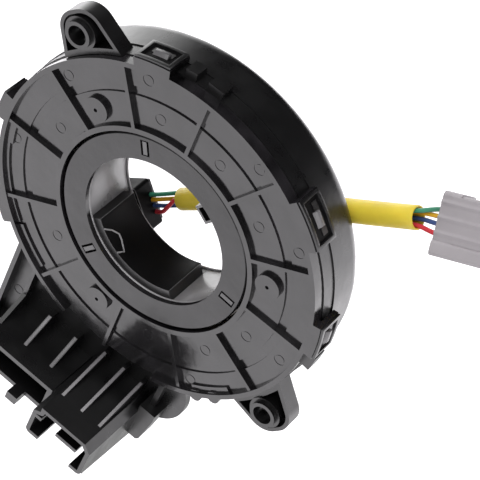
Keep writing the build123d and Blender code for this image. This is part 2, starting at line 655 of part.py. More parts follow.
# Slip sheets, one on each side of the ribbon
with BuildPart() as slip_sheet_front:
    with BuildSketch(facing(COVER_BACK)):
        Circle(DRUM_IN_R - SLIDE_GAP)
        Circle(COVER_IN_R, mode=Mode.SUBTRACT)
    extrude(amount=-SHEET_T)
save(slip_sheet_front, "slip_sheet_front")
with BuildPart() as slip_sheet_rear:
    with BuildSketch(facing(FLANGE_FRONT - SHEET_T)):
        Circle(FLANGE_R)
        Circle(HUB_FOOT_R + SLIDE_GAP, mode=Mode.SUBTRACT)
    extrude(amount=-SHEET_T)
save(slip_sheet_rear, "slip_sheet_rear")

# Ribbon cable: a spiral of half turns, each a little wider than the one before
RIBBON_FRONT = COVER_BACK + SHEET_T + 2 * SLIDE_GAP
RIBBON_BACK = FLANGE_FRONT - HUB_FOOT - SLIDE_GAP
with BuildPart() as ribbon_cable:
    with BuildSketch(facing(RIBBON_FRONT)) as strip:
        with BuildLine() as spiral:
            point = Vector(HUB_OUT_R + RIBBON_LEAD_IN, 0)
            Line((HUB_OUT_R, 0), point)
            side = 1
            for half in range(2 * RIBBON_TURNS):
                radius = HUB_OUT_R + RIBBON_LEAD_IN + (2 * half + 1) * RIBBON_PITCH / 4
                centre = point.X - side * radius
                end = Vector(centre - side * radius, 0)
                ThreePointArc(point, (centre, side * radius), end)
                point = end
                side = -side
        trace(line_width=RIBBON_T)
        Circle(HUB_OUT_R, mode=Mode.SUBTRACT)
    extrude(amount=-(RIBBON_BACK - RIBBON_FRONT))
save(ribbon_cable, "ribbon_cable")

# Terminal block of the rotor with its cap, on the flange's wheel side
with BuildPart() as rotor_lead_block:
    with BuildSketch(turned(LEAD_BLOCK_ANGLE, HUB_BACK, LEAD_BLOCK_AT)) as lead_block_sketch:
        box_on((0, LEAD_BLOCK_L), (-LEAD_BLOCK_W / 2, LEAD_BLOCK_W / 2))
        fillet(lead_block_sketch.vertices(), radius=LEAD_BLOCK_CORNER_R)
    extrude(amount=-LEAD_BLOCK_T)
save(rotor_lead_block, "rotor_lead_block")
with BuildPart() as block_cap:
    with BuildSketch(turned(LEAD_BLOCK_ANGLE, HUB_BACK + LEAD_BLOCK_T, LEAD_BLOCK_AT)):
        half_w = LEAD_BLOCK_W / 2 - CAP_INSET
        box_on((CAP_INSET, LEAD_BLOCK_L - CAP_INSET), (-half_w, half_w))
    extrude(amount=-CAP_T)
    chamfer(block_cap.faces().sort_by(Axis.Y)[-1].edges(), length=CAP_CHAMFER)
save(block_cap, "block_cap")

# Lead: routes of the sheath and of the wires, in order from the terminal block to the plug
SHEATH_ROUTE = (
    (-8.7, LEAD_Y, -7.6),
    (9.7, LEAD_Y, 0.2),
    (27.5, LEAD_Y, 6.0),
    (45.5, LEAD_Y, 10.9),
    (65.0, LEAD_Y, 17.0),
)
WIRE_ROUTES = {
    "wire_green": (
        (-19.5, 25.0, -10.5),
        (-17.4, 25.0, -9.7),
        (-14.1, 25.4, -8.3),
        (-9.3, 25.9, -6.2),
        (-4.3, 25.8, -4.0),
        (5.4, 25.7, 0.2),
        (21.2, 25.5, 5.8),
        (36.4, 25.3, 10.2),
        (49.2, 25.1, 13.8),
        (59.4, 25.0, 17.2),
        (65.2, 25.1, 19.1),
        (69.0, 26.5, 20.5),
        (72.1, 27.2, 21.2),
    ),
    "wire_yellow": (
        (-18.9, 25.0, -12.0),
        (-16.9, 25.1, -11.2),
        (-13.5, 25.8, -10.0),
        (-8.5, 26.6, -8.2),
        (-3.4, 26.7, -5.9),
        (6.1, 26.8, -1.6),
        (21.8, 26.8, 4.2),
        (36.8, 26.8, 8.8),
        (49.4, 26.7, 12.7),
        (59.4, 26.6, 16.0),
        (64.9, 26.5, 17.7),
        (68.9, 26.1, 18.8),
        (72.3, 25.9, 19.4),
    ),
    "wire_blue": (
        (-18.3, 25.0, -13.7),
        (-16.2, 25.0, -13.0),
        (-13.0, 24.9, -11.6),
        (-8.1, 24.3, -9.1),
        (-3.0, 24.0, -6.9),
        (6.6, 23.9, -2.6),
        (22.4, 24.3, 2.7),
        (37.4, 25.2, 7.0),
        (49.8, 25.9, 10.7),
        (59.8, 26.3, 14.1),
        (65.2, 26.2, 16.1),
        (69.0, 25.0, 17.3),
        (72.6, 24.7, 17.8),
    ),
    "wire_red": (
        (-17.6, 25.0, -15.6),
        (-15.3, 24.6, -14.7),
        (-13.0, 23.2, -11.9),
        (-9.6, 23.7, -6.7),
        (-4.3, 23.3, -4.5),
        (5.7, 23.4, -0.4),
        (21.8, 23.1, 4.5),
        (37.2, 23.2, 8.1),
        (49.9, 23.8, 11.1),
        (59.9, 24.5, 13.8),
        (65.4, 24.6, 15.1),
        (69.3, 23.6, 15.4),
        (72.8, 23.2, 15.7),
    ),
}


def tube(route, diameter, label, bore=0.0):
    """A cord's solid: straight runs joined by arcs as large as the runs allow."""
    points = [Vector(*p) for p in route]
    runs = [b - a for a, b in zip(points, points[1:])]
    turns = [a.get_angle(b) for a, b in zip(runs, runs[1:])]
    radii = [
        0.45 * min(a.length, b.length) / tan(radians(turn) / 2)
        for a, b, turn in zip(runs, runs[1:], turns)
    ]
    with BuildPart() as cord:
        with BuildLine() as path:
            FilletPolyline(*points, radius=radii)
        wire = path.wires()[0]
        with BuildSketch(Plane(origin=wire @ 0, z_dir=wire % 0)):
            Circle(diameter / 2)
            if bore:
                Circle(bore / 2, mode=Mode.SUBTRACT)
        sweep(path=wire)
    section = pi * (diameter**2 - bore**2) / 4
    print(label, "length", round(wire.length, 1), "smallest radius", round(min(radii), 1))
    print(label, "volume", round(cord.part.volume, 1), "of", round(section * wire.length, 1))
    save(cord, label)


tube(SHEATH_ROUTE, SHEATH_D, "lead_sheath", SHEATH_BORE_D)
for label, route in WIRE_ROUTES.items():
    tube(route, WIRE_D, label)


def plug_plane(x=0.0):
    """Plane square to the plug's length at x along it: its x is up the broad face."""
    base = Plane(origin=PLUG_AT, x_dir=PLUG_AXIS, z_dir=PLUG_FACE)
    return Plane(origin=base.from_local_coords((x, 0, 0)), x_dir=base.y_dir, z_dir=base.x_dir)


# Plug: the housing with its rear collar, rails and open end
with BuildPart() as plug_housing:
    with BuildSketch(plug_plane()) as body:
        Rectangle(PLUG_H - 2 * PLUG_COLLAR, PLUG_T - 2 * PLUG_COLLAR)
        fillet(body.vertices(), radius=1.2)
    extrude(amount=PLUG_L)
    with BuildSketch(plug_plane()) as collar:
        Rectangle(PLUG_H, PLUG_T)
        fillet(collar.vertices(), radius=1.5)
    extrude(amount=PLUG_COLLAR_L)
    with BuildSketch(plug_plane()):
        with Locations((-PLUG_H / 2 + PLUG_RAIL_W / 2, 0)):
            RectangleRounded(PLUG_RAIL_W, PLUG_T + 2 * PLUG_COLLAR, 1.0)
    extrude(amount=PLUG_L)
    with BuildSketch(plug_plane(PLUG_L)):
        Rectangle(PLUG_H - 2 * PLUG_COLLAR - 2 * PLUG_WALL, PLUG_T - 2 * PLUG_COLLAR - 2 * PLUG_WALL)
    extrude(amount=-PLUG_MOUTH, mode=Mode.SUBTRACT)
    with BuildSketch(plug_plane()):
        for seat in WIRE_SEATS:
            with Locations((seat, 0)):
                Circle(TERMINAL_D / 2)
    extrude(amount=PLUG_L - PLUG_MOUTH + 1.0, mode=Mode.SUBTRACT)
save(plug_housing, "plug_housing")

# Lock that holds the contacts, in the plug's mouth
with BuildPart() as plug_lock:
    with BuildSketch(plug_plane(PLUG_L - PLUG_MOUTH)):
        Rectangle(
            PLUG_H - 2 * PLUG_COLLAR - 2 * PLUG_WALL - 2 * SNAP_GAP,
            PLUG_T - 2 * PLUG_COLLAR - 2 * PLUG_WALL - 2 * SNAP_GAP,
        )
        for seat in WIRE_SEATS:
            with Locations((seat, 0)):
                Circle(TERMINAL_D / 2, mode=Mode.SUBTRACT)
    extrude(amount=LOCK_T)
save(plug_lock, "plug_lock")

# Contacts, crimped on the wires' ends and held in the housing's bores
with BuildPart() as plug_terminals:
    with BuildSketch(plug_plane(0)):
        for seat in WIRE_SEATS:
            with Locations((seat, 0)):
                Circle(TERMINAL_D / 2 - 0.1)
    extrude(amount=PLUG_L - PLUG_MOUTH)
    with BuildSketch(plug_plane(PLUG_L - PLUG_MOUTH)):
        for seat in WIRE_SEATS:
            with Locations((seat, 0)):
                Rectangle(1.0, 0.8)
    extrude(amount=PLUG_MOUTH - 2.0)
save(plug_terminals, "plug_terminals")
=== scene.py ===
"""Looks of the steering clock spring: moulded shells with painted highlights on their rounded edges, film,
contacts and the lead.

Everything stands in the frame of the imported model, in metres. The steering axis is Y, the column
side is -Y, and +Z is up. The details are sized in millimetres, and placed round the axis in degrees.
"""

import logging
import math
from dataclasses import dataclass, field
from enum import Enum

import bpy
from mathutils import Matrix, Vector


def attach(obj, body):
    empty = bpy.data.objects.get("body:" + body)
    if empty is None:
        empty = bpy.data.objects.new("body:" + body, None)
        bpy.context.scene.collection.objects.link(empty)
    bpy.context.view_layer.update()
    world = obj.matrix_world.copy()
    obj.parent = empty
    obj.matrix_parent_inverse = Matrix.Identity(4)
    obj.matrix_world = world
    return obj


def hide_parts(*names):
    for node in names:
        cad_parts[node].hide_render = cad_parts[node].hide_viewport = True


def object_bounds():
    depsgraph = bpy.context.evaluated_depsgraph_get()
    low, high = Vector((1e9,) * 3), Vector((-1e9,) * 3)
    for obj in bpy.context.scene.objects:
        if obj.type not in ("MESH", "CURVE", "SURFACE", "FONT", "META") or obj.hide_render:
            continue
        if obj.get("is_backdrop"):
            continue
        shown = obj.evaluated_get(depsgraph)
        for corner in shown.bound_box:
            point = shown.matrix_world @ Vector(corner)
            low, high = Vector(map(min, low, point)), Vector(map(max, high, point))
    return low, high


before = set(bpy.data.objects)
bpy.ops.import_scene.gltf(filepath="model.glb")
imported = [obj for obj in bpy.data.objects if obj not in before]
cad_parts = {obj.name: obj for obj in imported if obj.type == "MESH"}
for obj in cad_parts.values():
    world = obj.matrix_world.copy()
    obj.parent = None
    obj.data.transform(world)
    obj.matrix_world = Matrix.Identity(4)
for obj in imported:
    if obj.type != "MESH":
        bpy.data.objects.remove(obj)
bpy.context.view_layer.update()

LOG = logging.getLogger("clock_spring")
MM = 0.001

Colour = tuple[float, float, float]
Point = tuple[float, float, float]
Span = tuple[float, float]
Inputs = dict[str | int, object]


class Body(Enum):
    """The bodies that a piece can ride on."""

    STATOR = "stator"
    ROTOR = "rotor"


class Course(Enum):
    """The ways that a curve can follow its points."""

    STRAIGHT = "POLY"
    SMOOTH = "NURBS"


def select_only(piece: bpy.types.Object) -> None:
    """Make one object the only selected one, and the active one.

    Args:
        piece: the object to select.
    """
    bpy.ops.object.select_all(action="DESELECT")
    piece.select_set(True)
    bpy.context.view_layer.objects.active = piece


def apply_modifiers(piece: bpy.types.Object) -> None:
    """Apply every modifier of a piece, in order.

    Args:
        piece: the object whose modifiers are applied.
    """
    select_only(piece)
    for modifier in list(piece.modifiers):
        bpy.ops.object.modifier_apply(modifier=modifier.name)


def link_new(name: str, data: bpy.types.ID) -> bpy.types.Object:
    """Make an object of a mesh, curve, lamp or camera, and put it in the scene.

    Args:
        name: the object's name.
        data: what it shows.

    Returns:
        The new object.
    """
    piece = bpy.data.objects.new(name, data)
    bpy.context.scene.collection.objects.link(piece)
    return piece


def new_curve(name: str, points: list[Vector], course: Course) -> bpy.types.Object:
    """Make a curve with no thickness.

    Args:
        name: the curve's name.
        points: its control points, in metres.
        course: how it follows them.

    Returns:
        The curve.
    """
    curve = bpy.data.curves.new(name, "CURVE")
    curve.dimensions = "3D"
    line = curve.splines.new(course.value)
    line.points.add(len(points) - 1)
    for control, point in zip(line.points, points):
        control.co = (*point, 1)
    return link_new(name, curve)


def shown_mesh(piece: bpy.types.Object) -> bpy.types.Mesh:
    """Copy the mesh that an object shows, with its thickness and modifiers.

    Args:
        piece: the object.

    Returns:
        The mesh.
    """
    bpy.context.view_layer.update()
    depsgraph = bpy.context.evaluated_depsgraph_get()
    return bpy.data.meshes.new_from_object(piece.evaluated_get(depsgraph))


def round_corners(
    piece: bpy.types.Object, width: float, angle: float, steps: int
) -> bpy.types.BevelModifier:
    """Add a modifier that rounds the corners of a piece.

    Args:
        piece: the piece.
        width: width of each rounding, in metres.
        angle: least angle between two faces that makes a corner, in radians.
        steps: faces across each rounding.

    Returns:
        The modifier, not yet applied.
    """
    corners = piece.modifiers.new("corners", "BEVEL")
    corners.limit_method = "ANGLE"
    corners.angle_limit = angle
    corners.width = width
    corners.segments = steps
    return corners


def round_axis(turn: float, reach: float, y: float) -> Vector:
    """Find a point by its place round the steering axis.

    Args:
        turn: its angle, in radians.
        reach: its distance from the axis, in millimetres.
        y: its place along the axis, in millimetres.

    Returns:
        The point, in metres.
    """
    return Vector((reach * math.cos(turn), y, reach * math.sin(turn))) * MM


@dataclass
class Tree:
    """A node tree, with short calls for its nodes and links."""

    tree: bpy.types.NodeTree

    def link(self, source: bpy.types.NodeSocket, target: bpy.types.NodeSocket) -> None:
        """Join an output to an input."""
        self.tree.links.new(source, target)

    def add(self, kind: str, inputs: Inputs | None = None, **values: object) -> bpy.types.Node:
        """Add a node, set its properties, and fill its inputs.

        Args:
            kind: the node's type.
            inputs: a value, or an output to join, for each input.
            values: properties of the node, by name.

        Returns:
            The new node.
        """
        node = self.tree.nodes.new(kind)
        for name, value in values.items():
            setattr(node, name, value)
        for name, value in (inputs or {}).items():
            if isinstance(value, bpy.types.NodeSocket):
                self.link(value, node.inputs[name])
            else:
                node.inputs[name].default_value = value
        return node

    def ramp(self, value: bpy.types.NodeSocket, source: Span, result: Span) -> bpy.types.NodeSocket:
        """Turn one range of values into another, with soft ends.

        Args:
            value: the value to turn.
            source: the range that it has.
            result: the range that it gets.

        Returns:
            The turned value.
        """
        inputs = {"From Min": source[0], "From Max": source[1], "To Min": result[0], "To Max": result[1]}
        node = self.add("ShaderNodeMapRange", {"Value": value, **inputs}, interpolation_type="SMOOTHSTEP")
        return node.outputs["Result"]


@dataclass
class Nodes(Tree):
    """The node tree of a finish, with the patterns that the finishes share."""

    shader: bpy.types.Node = field(init=False)
    place: bpy.types.NodeSocket = field(init=False)
    middle: Span = (0.3, 0.7)

    def __post_init__(self) -> None:
        """Find the shader and add the object coordinates."""
        self.shader = self.tree.nodes["Principled BSDF"]
        self.place = self.add("ShaderNodeTexCoord").outputs["Object"]

    def feed(self, name: str, source: bpy.types.NodeSocket) -> None:
        """Join a pattern to one of the shader's inputs."""
        self.link(source, self.shader.inputs[name])

    def fix(self, name: str, value: float) -> None:
        """Set one of the shader's inputs all over."""
        self.shader.inputs[name].default_value = value

    def noise(
        self, scale: float, detail: float, place: bpy.types.NodeSocket | None = None
    ) -> bpy.types.NodeSocket:
        """Add a noise pattern.

        Args:
            scale: waves per metre.
            detail: octaves of finer waves.
            place: coordinates to read, or the object's own.

        Returns:
            The pattern's value, from 0 to 1.
        """
        inputs = {"Scale": scale, "Detail": detail, "Vector": place or self.place}
        return self.add("ShaderNodeTexNoise", inputs).outputs["Fac"]

    def spread(self, value: bpy.types.NodeSocket, low: float, high: float) -> bpy.types.NodeSocket:
        """Stretch the middle of a pattern to a range.

        Args:
            value: a pattern from 0 to 1.
            low: result at the pattern's dark patches.
            high: result at its light patches.

        Returns:
            The stretched value.
        """
        near, far = self.middle
        inputs = {"Value": value, "From Min": near, "From Max": far, "To Min": low, "To Max": high}
        return self.add("ShaderNodeMapRange", inputs).outputs["Result"]

    def tint(self, value: bpy.types.NodeSocket, colour: Colour, mottle: float) -> None:
        """Colour the surface by a pattern, between a darker and a lighter shade.

        Args:
            value: a pattern from 0 to 1.
            colour: the middle colour.
            mottle: share of the colour between the middle and either shade.
        """
        dark, light = shades(colour, mottle)
        inputs = {"A": (*dark, 1), "B": (*light, 1), "Factor": self.spread(value, 0.0, 1.0)}
        self.feed("Base Color", self.add("ShaderNodeMix", inputs, data_type="RGBA").outputs["Result"])

    def bump(self, height: bpy.types.NodeSocket, distance: float) -> None:
        """Raise the surface by a pattern.

        Args:
            height: the pattern.
            distance: height in metres at full value.
        """
        node = self.add("ShaderNodeBump", {"Distance": distance, "Height": height})
        self.feed("Normal", node.outputs["Normal"])


def shades(colour: Colour, spread: float) -> tuple[Colour, Colour]:
    """A darker and a lighter shade of a colour.

    Args:
        colour: the middle colour.
        spread: share of the colour between the middle and either shade.

    Returns:
        The dark and the light shade.
    """
    dark = tuple(channel * (1 - spread) for channel in colour)
    light = tuple(channel * (1 + spread) for channel in colour)
    return dark, light


def new_finish(name: str) -> tuple[bpy.types.Material, Nodes]:
    """Start a material.

    Args:
        name: the material's name.

    Returns:
        The material and its nodes.
    """
    material = bpy.data.materials.new(name)
    material.use_nodes = True
    return material, Nodes(material.node_tree)


@dataclass(frozen=True)
class MouldedPlastic:
    """Injection-moulded plastic: flow mottling, uneven gloss, a fine grain and faint sink waves."""

    name: str
    colour: Colour
    roughness: Span
    mottle: float = 0.12
    mottle_scale: float = 90.0
    mottle_detail: float = 3.0
    gloss_scale: float = 153.0
    gloss_detail: float = 4.0
    grain_scale: float = 2600.0
    grain_detail: float = 2.0
    grain_height: float = 0.000012
    wave_height: float = 0.0
    specular: float = 0.5

    def build(self) -> bpy.types.Material:
        """Make the material.

        Returns:
            The material.
        """
        material, nodes = new_finish(self.name)
        flow = nodes.noise(self.mottle_scale, self.mottle_detail)
        nodes.tint(flow, self.colour, self.mottle)
        gloss = nodes.noise(self.gloss_scale, self.gloss_detail)
        nodes.feed("Roughness", nodes.spread(gloss, *self.roughness))
        nodes.fix("Specular IOR Level", self.specular)
        grain = nodes.noise(self.grain_scale, self.grain_detail)
        waves = {0: flow, 1: self.wave_height / self.grain_height, 2: grain}
        relief = nodes.add("ShaderNodeMath", waves, operation="MULTIPLY_ADD")
        nodes.bump(relief.outputs[0], self.grain_height)
        return material


@dataclass(frozen=True)
class SleeveVinyl:
    """Soft vinyl of a sleeve or a wire's jacket, with a waxy, slightly streaked surface."""

    name: str
    colour: Colour
    roughness: Span = (0.36, 0.48)
    mottle: float = 0.08
    specular: float = 0.35
    streak_scale: float = 160.0
    streak_detail: float = 3.0
    gloss_scale: float = 320.0
    gloss_detail: float = 2.0
    wave_scale: float = 224.0
    wave_detail: float = 2.0
    wave_height: float = 0.00006
    glow: float = 0.08
    glow_depth: float = 0.001

    def build(self) -> bpy.types.Material:
        """Make the material.

        Returns:
            The material.
        """
        material, nodes = new_finish(self.name)
        streaks = nodes.noise(self.streak_scale, self.streak_detail)
        nodes.tint(streaks, self.colour, self.mottle)
        gloss = nodes.noise(self.gloss_scale, self.gloss_detail)
        nodes.feed("Roughness", nodes.spread(gloss, *self.roughness))
        nodes.fix("Specular IOR Level", self.specular)
        nodes.fix("Subsurface Weight", self.glow)
        nodes.fix("Subsurface Scale", self.glow_depth)
        nodes.bump(nodes.noise(self.wave_scale, self.wave_detail), self.wave_height)
        return material


@dataclass(frozen=True)
class TinPlate:
    """Tin-plated contact metal, brushed along its length."""

    name: str
    colour: Colour
    roughness: Span = (0.22, 0.4)
    mottle: float = 0.15
    brush_scale: float = 5200.0
    brush_detail: float = 3.0
    brush_stretch: Point = (1.0, 0.06, 1.0)
    brush_height: float = 0.000008

    def build(self) -> bpy.types.Material:
        """Make the material.

        Returns:
            The material.
        """
        material, nodes = new_finish(self.name)
        stretch = nodes.add("ShaderNodeMapping", {"Vector": nodes.place, "Scale": self.brush_stretch})
        brush = nodes.noise(self.brush_scale, self.brush_detail, stretch.outputs["Vector"])
        nodes.tint(brush, self.colour, self.mottle)
        nodes.feed("Roughness", nodes.spread(brush, *self.roughness))
        nodes.fix("Metallic", 1.0)
        nodes.bump(brush, self.brush_height)
        return material


@dataclass(frozen=True)
class Film:
    """Thin polyester film with faint ripples."""

    name: str
    colour: Colour
    roughness: Span = (0.12, 0.24)
    mottle: float = 0.06
    ripple_scale: float = 60.0
    ripple_detail: float = 2.0
    ripple_height: float = 0.00015

    def build(self) -> bpy.types.Material:
        """Make the material.

        Returns:
            The material.
        """
        material, nodes = new_finish(self.name)
        ripple = nodes.noise(self.ripple_scale, self.ripple_detail)
        nodes.tint(ripple, self.colour, self.mottle)
        nodes.feed("Roughness", nodes.spread(ripple, *self.roughness))
        nodes.bump(ripple, self.ripple_height)
        return material


FINISHES = (
    MouldedPlastic(
        "black_gloss", (0.0042, 0.0040, 0.0044), (0.25, 0.37), grain_height=0.000006, wave_height=0.00018
    ),
    MouldedPlastic(
        "black_satin",
        (0.009, 0.0083, 0.0094),
        (0.1, 0.2),
        mottle=0.85,
        grain_height=0.000005,
        wave_height=0.0002,
    ),
    MouldedPlastic(
        "ring_black", (0.009, 0.0083, 0.0094), (0.12, 0.22), mottle=0.6, wave_height=0.0003, specular=0.38
    ),
    MouldedPlastic("hub_black", (0.0045, 0.0042, 0.0047), (0.34, 0.46), specular=0.9),
    # painted sheen: a light grey copy of the black plastic, standing in for reflections on the bore's walls
    MouldedPlastic("bore_painted_sheen", (0.2, 0.194, 0.203), (0.26, 0.38), mottle=0.25, specular=0.9),
    # painted shade: near-black and dull, for the snap pockets, the hub's sector, and the lead block and its
    # cap in the bore
    MouldedPlastic("painted_shade_black", (0.0025, 0.0023, 0.0026), (0.45, 0.6), specular=0.08),
    # painted highlight: a lighter copy of the black plastic, for rounded edges and the snap teeth
    MouldedPlastic("highlight_black", (0.085, 0.081, 0.086), (0.22, 0.34), mottle=0.4),
    # painted highlight: a lighter copy of the satin black, for the cover's and the ring's rounded edges
    MouldedPlastic("highlight_satin", (0.036, 0.034, 0.037), (0.18, 0.28), mottle=0.5),
    # painted highlight: light grey for the hook's rim and the beads at the bore's ends
    MouldedPlastic("rim_highlight", (0.27, 0.262, 0.272), (0.26, 0.38), mottle=0.25, specular=0.9),
    # painted highlight: a lighter grey along the gusset crests
    MouldedPlastic("crest_highlight", (0.15, 0.143, 0.151), (0.28, 0.4), mottle=0.25),
    MouldedPlastic("grey_nylon", (0.31, 0.287, 0.303), (0.38, 0.5), mottle=0.08),
    SleeveVinyl("yellow_sleeve", (0.67, 0.515, 0.045)),
    SleeveVinyl("wire_green", (0.045, 0.24, 0.14), wave_height=0.00002),
    SleeveVinyl("wire_yellow", (0.80, 0.42, 0.02), wave_height=0.00002),
    SleeveVinyl("wire_blue", (0.045, 0.085, 0.24), wave_height=0.00002),
    SleeveVinyl("wire_red", (0.62, 0.04, 0.055), wave_height=0.00002),
    TinPlate("tin", (0.72, 0.69, 0.6)),
    Film("clear_film", (0.62, 0.63, 0.6)),
    Film("ribbon_film", (0.16, 0.1, 0.045)),
)

FINISH_SLOTS = {
    **dict.fromkeys(
        ("hub_black", "bore_painted_sheen", "painted_shade_black", "highlight_black", "rim_highlight", "crest_highlight"),
        "black_gloss",
    ),
    "ring_black": "black_satin",
}

NODE_FINISHES = {
    "housing": "black_gloss",
    "cover": "black_satin",
    "base_lid": "black_gloss",
    "rotor_ring": "ring_black",
    "rotor_hub": "hub_black",
    # the lead block and its cap are darkened with the painted-shade black
    "rotor_lead_block": "painted_shade_black",
    "block_cap": "painted_shade_black",
    "plug_housing": "grey_nylon",
    "plug_lock": "grey_nylon",
    "lead_sheath": "yellow_sleeve",
    "wire_green": "wire_green",
    "wire_yellow": "wire_yellow",
    "wire_blue": "wire_blue",
    "wire_red": "wire_red",
    "slip_sheet_front": "clear_film",
    "slip_sheet_rear": "clear_film",
    "ribbon_cable": "ribbon_film",
    "stator_lead_block": "black_satin",
    "connector_a_pins": "tin",
    "connector_b_pins": "tin",
    "plug_terminals": "tin",
}


@dataclass
class Workshop:
    """The finishes by name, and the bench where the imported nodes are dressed."""

    materials: dict[str, bpy.types.Material] = field(default_factory=dict)

    def __post_init__(self) -> None:
        """Build every finish once."""
        for finish in FINISHES:
            self.materials[finish.name] = finish.build()

    def coat(self, piece: bpy.types.Object, finish: str) -> None:
        """Give a piece one finish all over.

        Args:
            piece: the piece to coat.
            finish: the finish's name.
        """
        piece.data.materials.clear()
        piece.data.materials.append(self.materials[finish])

    def seat(
        self, piece: bpy.types.Object, body: Body, finish: str, coated: bool = False
    ) -> bpy.types.Object:
        """Coat a new piece and let it ride on its body.

        Args:
            piece: the new piece.
            body: the body that it rides on.
            finish: its finish.
            coated: whether the piece already has its finishes.

        Returns:
            The same piece.
        """
        if not coated:
            self.coat(piece, finish)
        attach(piece, body.value)
        LOG.info("piece %s on %s", piece.name, body.value)
        return piece


@dataclass
class MouldedShells:
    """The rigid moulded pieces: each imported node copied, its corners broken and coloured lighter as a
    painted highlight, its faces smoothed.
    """

    shop: Workshop
    # each shell: node, body, rounding width in mm, and the roundings' finish, lighter than the black shells
    # as a painted highlight
    shells: tuple[tuple[str, Body, float, str], ...] = (
        ("housing", Body.STATOR, 0.18, "highlight_black"),
        ("cover", Body.STATOR, 0.14, "highlight_satin"),
        ("base_lid", Body.STATOR, 0.15, "highlight_black"),
        ("rotor_ring", Body.ROTOR, 0.1, "highlight_satin"),
        ("rotor_hub", Body.ROTOR, 0.18, "highlight_black"),
        ("rotor_lead_block", Body.ROTOR, 0.2, "highlight_black"),
        ("block_cap", Body.ROTOR, 0.15, "highlight_black"),
        ("plug_housing", Body.ROTOR, 0.25, "grey_nylon"),
        ("plug_lock", Body.ROTOR, 0.15, "grey_nylon"),
    )
    weld: float = 2e-6
    flat_angle: float = math.radians(1.0)
    corner_angle: float = math.radians(32.0)
    corner_steps: int = 2

    def dress(self, node: str, body: Body, edge_mm: float, edge: str) -> bpy.types.Object:
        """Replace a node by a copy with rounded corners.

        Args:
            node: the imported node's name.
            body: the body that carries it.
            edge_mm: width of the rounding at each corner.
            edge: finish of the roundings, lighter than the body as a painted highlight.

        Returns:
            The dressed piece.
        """
        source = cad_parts[node]
        piece = link_new(node + "_moulding", source.data.copy())
        self.shop.coat(piece, NODE_FINISHES[node])
        piece.data.materials.append(self.shop.materials[edge])
        select_only(piece)
        bpy.ops.object.mode_set(mode="EDIT")
        bpy.ops.mesh.select_all(action="SELECT")
        bpy.ops.mesh.remove_doubles(threshold=self.weld)
        bpy.ops.mesh.customdata_custom_splitnormals_clear()
        bpy.ops.mesh.dissolve_limited(angle_limit=self.flat_angle)
        bpy.ops.object.mode_set(mode="OBJECT")
        corners = round_corners(piece, edge_mm * MM, self.corner_angle, self.corner_steps)
        # the roundings take the lighter finish: a painted highlight along every corner
        corners.material = len(piece.data.materials) - 1
        apply_modifiers(piece)
        bpy.ops.object.shade_smooth_by_angle(angle=self.corner_angle)
        normals = piece.modifiers.new("normals", "WEIGHTED_NORMAL")
        normals.keep_sharp = True
        apply_modifiers(piece)
        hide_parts(node)
        return self.shop.seat(piece, body, NODE_FINISHES[node], coated=True)

    def build(self) -> None:
        """Dress every moulding that shows."""
        for shell in self.shells:
            self.dress(*shell)


@dataclass
class Bench:
    """Ways of making small moulded details: flat slabs in millimetres, then put in place."""

    edge_mm: float = 0.12
    edge_steps: int = 2
    smooth_angle: float = math.radians(32.0)

    def slab(self, name: str, size: Point, steps: tuple[int, int] = (1, 1)) -> bpy.types.Object:
        """Make a slab that stands on the XY plane.

        Args:
            name: the piece's name.
            size: length along X, width along Y and height along Z, in millimetres.
            steps: faces along X and along Y.

        Returns:
            The slab, in edit mode, with its top face still selected.
        """
        bpy.ops.object.select_all(action="DESELECT")
        bpy.ops.mesh.primitive_grid_add(x_subdivisions=steps[0], y_subdivisions=steps[1], size=1.0)
        piece = bpy.context.active_object
        piece.name = name
        piece.scale = (size[0], size[1], 1)
        bpy.ops.object.transform_apply(location=False, rotation=False, scale=True)
        bpy.ops.object.mode_set(mode="EDIT")
        bpy.ops.mesh.select_all(action="SELECT")
        bpy.ops.mesh.extrude_region_move(TRANSFORM_OT_translate={"value": (0, 0, size[2])})
        return piece

    def wrap(self, piece: bpy.types.Object, angle: float, radius: float, y: float) -> None:
        """Lay a slab round the steering axis: its X runs round, its Y along, its Z outward.

        Args:
            piece: the slab, in edit mode.
            angle: place of its middle round the axis, in degrees.
            radius: place of its underside, in millimetres.
            y: place of its middle along the axis, in millimetres.
        """
        bpy.ops.object.mode_set(mode="OBJECT")
        for vertex in piece.data.vertices:
            turn = math.radians(angle) - vertex.co.x / radius
            vertex.co = round_axis(turn, radius + vertex.co.z, y + vertex.co.y)

    def place(self, piece: bpy.types.Object, origin: Vector, along: Vector, out: Vector) -> None:
        """Set a slab down flat.

        Args:
            piece: the slab, in edit mode.
            origin: place of its middle, in millimetres.
            along: direction of its length.
            out: direction of its top.
        """
        bpy.ops.object.mode_set(mode="OBJECT")
        along, out = along.normalized(), out.normalized()
        turn = Matrix((along, out.cross(along), out)).transposed().to_4x4()
        piece.data.transform(Matrix.Scale(MM, 4) @ Matrix.Translation(origin) @ turn)

    def finish(self, piece: bpy.types.Object) -> None:
        """Turn the faces outwards, round the edges and smooth the surface.

        Args:
            piece: the detail, in place.
        """
        select_only(piece)
        bpy.ops.object.mode_set(mode="EDIT")
        bpy.ops.mesh.select_all(action="SELECT")
        bpy.ops.mesh.normals_make_consistent(inside=False)
        bpy.ops.object.mode_set(mode="OBJECT")
        round_corners(piece, self.edge_mm * MM, self.smooth_angle, self.edge_steps)
        apply_modifiers(piece)
        bpy.ops.object.shade_smooth_by_angle(angle=self.smooth_angle)

    def join(self, name: str, pieces: list[bpy.types.Object]) -> bpy.types.Object:
        """Join several details into one piece.

        Args:
            name: the piece's name.
            pieces: the details.

        Returns:
            The piece.
        """
        bpy.ops.object.select_all(action="DESELECT")
        for piece in pieces:
            piece.select_set(True)
        bpy.context.view_layer.objects.active = pieces[0]
        bpy.ops.object.join()
        pieces[0].name = name
        return pieces[0]


